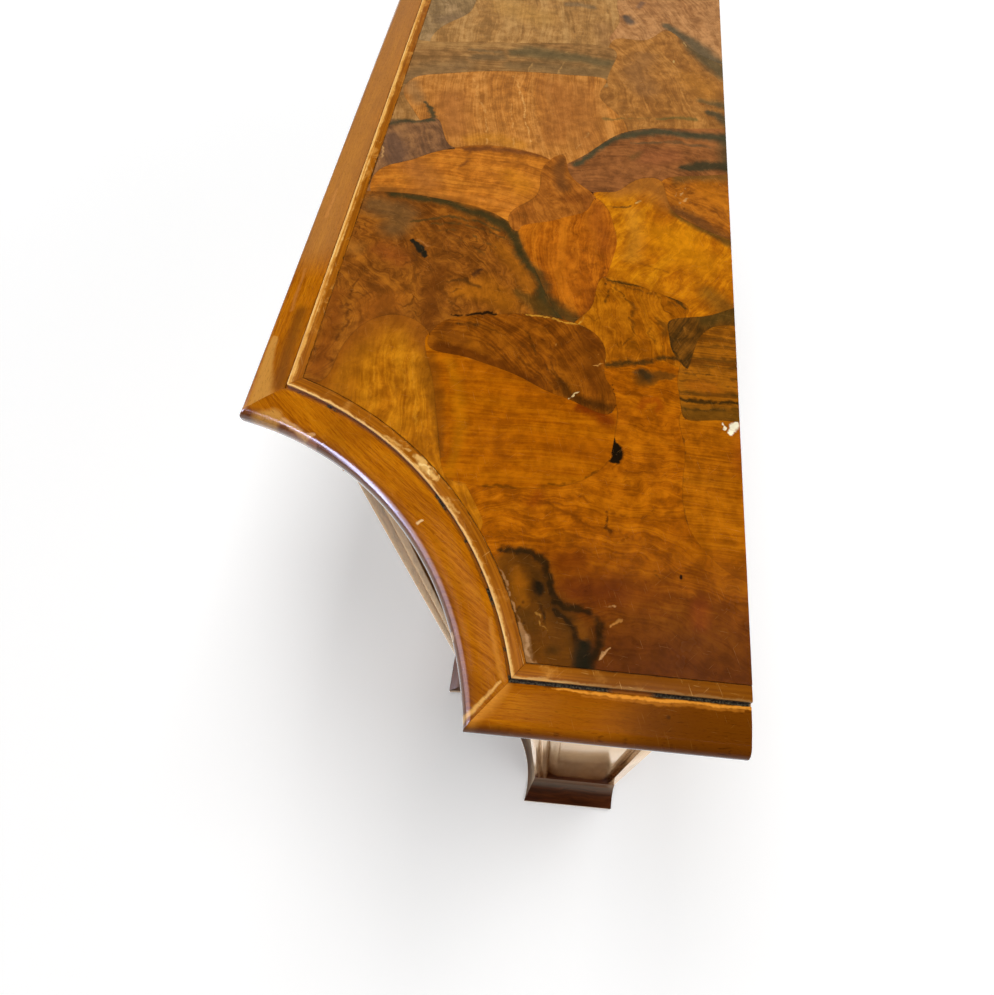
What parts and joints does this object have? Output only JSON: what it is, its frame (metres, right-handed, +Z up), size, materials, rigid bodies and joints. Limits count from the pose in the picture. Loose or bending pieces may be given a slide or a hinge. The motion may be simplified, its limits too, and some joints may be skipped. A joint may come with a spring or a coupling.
{
  "type": "demilune table",
  "caption": "Shaped console table with a figured veneer top, hollow front corners, a moulded edge and two tapering panelled pedestals on coved plinths.",
  "frame": {"origin": "centre of the footprint on the floor, at the middle of the overall box", "axes": "+X along the length towards the right end, +Y towards the straight back, +Z up"},
  "size_m": [1.2, 0.4, 0.77],
  "materials": {
    "veneer": "polished, figured",
    "banding": "polished, worn",
    "moulding": "polished, worn",
    "core_wood": "sawn",
    "post_wood": "polished",
    "panel_wood": "polished",
    "plinth_wood": "polished",
    "rail_wood": "satin",
    "screw_steel": "dull"
  },
  "bodies": {
    "root": {"back_rail": "rail_wood", "centre_bearer": "core_wood", "front_band": "banding", "front_moulding": "moulding", "front_rail": "rail_wood", "left_back_panel": "core_wood", "left_back_stile": "post_wood", "left_base_board": "core_wood", "left_corner_band": "banding", "left_corner_moulding": "moulding", "left_end_band": "banding", "left_end_moulding": "moulding", "left_end_panel": "panel_wood", "left_end_post": "post_wood", "left_front_panel": "panel_wood", "left_front_post": "post_wood", "left_hollow_panel": "panel_wood", "left_inner_panel": "panel_wood", "left_inner_post": "post_wood", "left_pedestal_cap": "post_wood", "left_plinth_back": "core_wood", "left_plinth_end": "plinth_wood", "left_plinth_front": "plinth_wood", "left_plinth_hollow": "plinth_wood", "left_plinth_inner": "plinth_wood", "right_back_panel": "core_wood", "right_back_stile": "post_wood", "right_base_board": "core_wood", "right_corner_band": "banding", "right_corner_moulding": "moulding", "right_end_band": "banding", "right_end_moulding": "moulding", "right_end_panel": "panel_wood", "right_end_post": "post_wood", "right_front_panel": "panel_wood", "right_front_post": "post_wood", "right_hollow_panel": "panel_wood", "right_inner_panel": "panel_wood", "right_inner_post": "post_wood", "right_pedestal_cap": "post_wood", "right_plinth_back": "core_wood", "right_plinth_end": "plinth_wood", "right_plinth_front": "plinth_wood", "right_plinth_hollow": "plinth_wood", "right_plinth_inner": "plinth_wood", "top_core": "core_wood", "top_screws": "screw_steel", "veneer_leaves": "veneer"}
  },
  "joints": []
}
